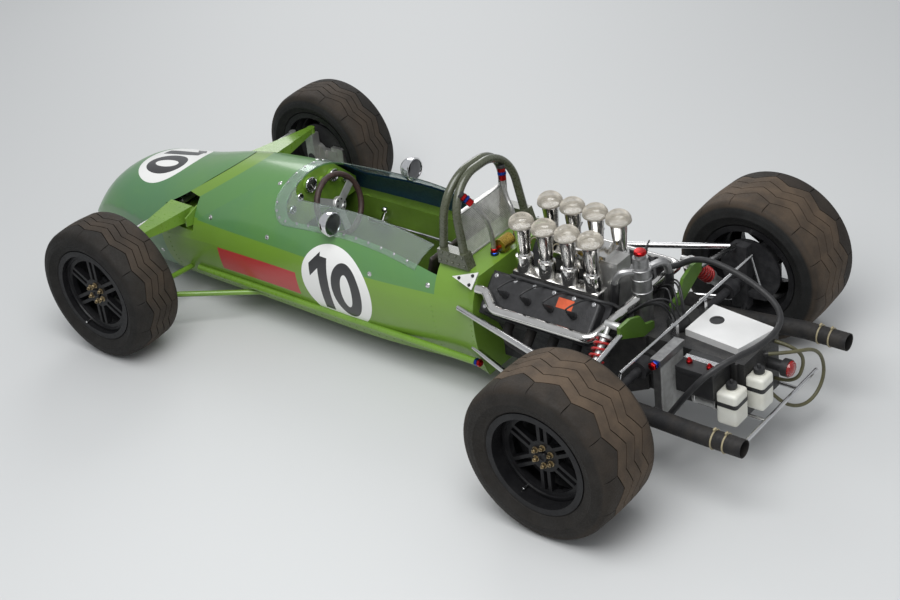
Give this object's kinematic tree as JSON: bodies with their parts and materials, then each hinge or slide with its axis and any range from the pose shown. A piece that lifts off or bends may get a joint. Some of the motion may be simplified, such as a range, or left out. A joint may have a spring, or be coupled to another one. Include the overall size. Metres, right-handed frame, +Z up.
{
  "type": "open-wheel racing car",
  "caption": "Open-wheel single-seat racing car with an open vee engine behind the cockpit, steered front wheels and bare suspension.",
  "frame": {"origin": "middle of the length and width on the ground under the tyres", "axes": "+X towards the nose, +Y to the driver's left, +Z up"},
  "size_m": [3.75, 1.7964, 0.9069],
  "materials": {
    "tub_green": "gloss",
    "cowl_green": "satin",
    "clear_screen": "clear",
    "chrome": "polished",
    "seat_hide": "satin",
    "dash_green": "satin",
    "wheel_rim_hide": "satin",
    "hoop_olive": "gloss",
    "mesh_silver": "perforated",
    "cast_dark": "rough",
    "crackle_black": "crackle",
    "polished_alloy": "polished",
    "gauze": "woven",
    "alloy": "satin",
    "steel": "satin",
    "exhaust_black": "matt",
    "black_plastic": "matt",
    "white_plastic": "translucent",
    "lamp_red": "gloss",
    "spring_red": "gloss",
    "arm_green": "gloss",
    "rim_black": "satin",
    "tyre": "matt",
    "hose_black": "satin",
    "hose_olive": "satin",
    "hose_braid": "braided",
    "filter_gold": "anodised",
    "mount_white": "gloss"
  },
  "bodies": {
    "chassis": {"tub": "tub_green", "cowl": "cowl_green", "nose_cone": "cowl_green", "windscreen": "clear_screen", "radiator": "alloy", "seat": "seat_hide", "dash": "dash_green", "gear_lever": "alloy", "mirrors": "chrome", "roll_hoop": "hoop_olive", "mesh_guard": "mesh_silver", "engine_block": "cast_dark", "cam_covers": "crackle_black", "intake_trumpets": "polished_alloy", "trumpet_gauzes": "gauze", "metering_box": "alloy", "water_header": "alloy", "water_pipes": "alloy", "gearbox": "cast_dark", "catch_tank": "alloy", "exhaust_left": "exhaust_black", "exhaust_right": "exhaust_black", "oil_cooler": "alloy", "battery": "black_plastic", "bottles": "white_plastic", "tail_lamp": "lamp_red", "tail_bar": "steel", "rear_frame": "arm_green", "rear_uprights": "alloy", "rear_links": "steel", "rear_dampers": "spring_red", "anti_roll_bar": "steel", "front_rocker_arms": "arm_green", "front_wishbones": "arm_green", "side_pipes": "arm_green", "breather_hose": "hose_black", "vent_hose": "hose_olive", "drain_hose": "hose_olive", "fuel_hose_left": "hose_braid", "fuel_hose_right": "hose_braid", "fuel_filter": "filter_gold", "engine_mounts": "mount_white", "fuel_pump": "alloy"},
    "knuckle_left": {"knuckle_front_left": "alloy"},
    "knuckle_right": {"knuckle_front_right": "alloy"},
    "wheel_front_left": {"tyre_front_left": "tyre", "rim_front_left": "rim_black", "hub_front_left": "steel"},
    "wheel_front_right": {"tyre_front_right": "tyre", "rim_front_right": "rim_black", "hub_front_right": "steel"},
    "wheel_rear_left": {"tyre_rear_left": "tyre", "rim_rear_left": "rim_black", "hub_rear_left": "steel"},
    "wheel_rear_right": {"tyre_rear_right": "tyre", "rim_rear_right": "rim_black", "hub_rear_right": "steel"},
    "rack": {"steering_rack": "arm_green"},
    "hand_wheel": {"steering_wheel": "wheel_rim_hide"}
  },
  "joints": [
    {"name": "steer_left", "type": "hinge", "parent": "chassis", "child": "knuckle_left", "pos_m": [1.025, 0.6, 0.305], "axis": [0, 0, 1], "range_deg": [-18, 18]},
    {"name": "steer_right", "type": "hinge", "parent": "chassis", "child": "knuckle_right", "pos_m": [1.025, -0.6, 0.305], "axis": [0, 0, 1], "range_deg": [-18, 18]},
    {"name": "rack_slide", "type": "slide", "parent": "chassis", "child": "rack", "axis": [0, 1, 0], "range_m": [-0.0335, 0.0335]},
    {"name": "hand_wheel_turn", "type": "hinge", "parent": "chassis", "child": "hand_wheel", "pos_m": [0.309, 0, 0.517], "axis": [-0.9613, 0, 0.2756], "range_deg": [-144.5, 144.5]},
    {"name": "spin_front_left", "type": "hinge", "parent": "knuckle_left", "child": "wheel_front_left", "pos_m": [1.025, 0.724, 0.305], "axis": [0, 1, 0], "continuous": true},
    {"name": "spin_front_right", "type": "hinge", "parent": "knuckle_right", "child": "wheel_front_right", "pos_m": [1.025, -0.724, 0.305], "axis": [0, 1, 0], "continuous": true},
    {"name": "spin_rear_left", "type": "hinge", "parent": "chassis", "child": "wheel_rear_left", "pos_m": [-1.325, 0.733, 0.322], "axis": [0, 1, 0], "continuous": true},
    {"name": "spin_rear_right", "type": "hinge", "parent": "chassis", "child": "wheel_rear_right", "pos_m": [-1.325, -0.733, 0.322], "axis": [0, 1, 0], "continuous": true}
  ],
  "couplings": [
    {"joint": "steer_right", "follows": "steer_left", "ratio": 1},
    {"joint": "rack_slide", "follows": "steer_left", "m_per_rad": 0.105},
    {"joint": "hand_wheel_turn", "follows": "steer_left", "ratio": 8}
  ]
}
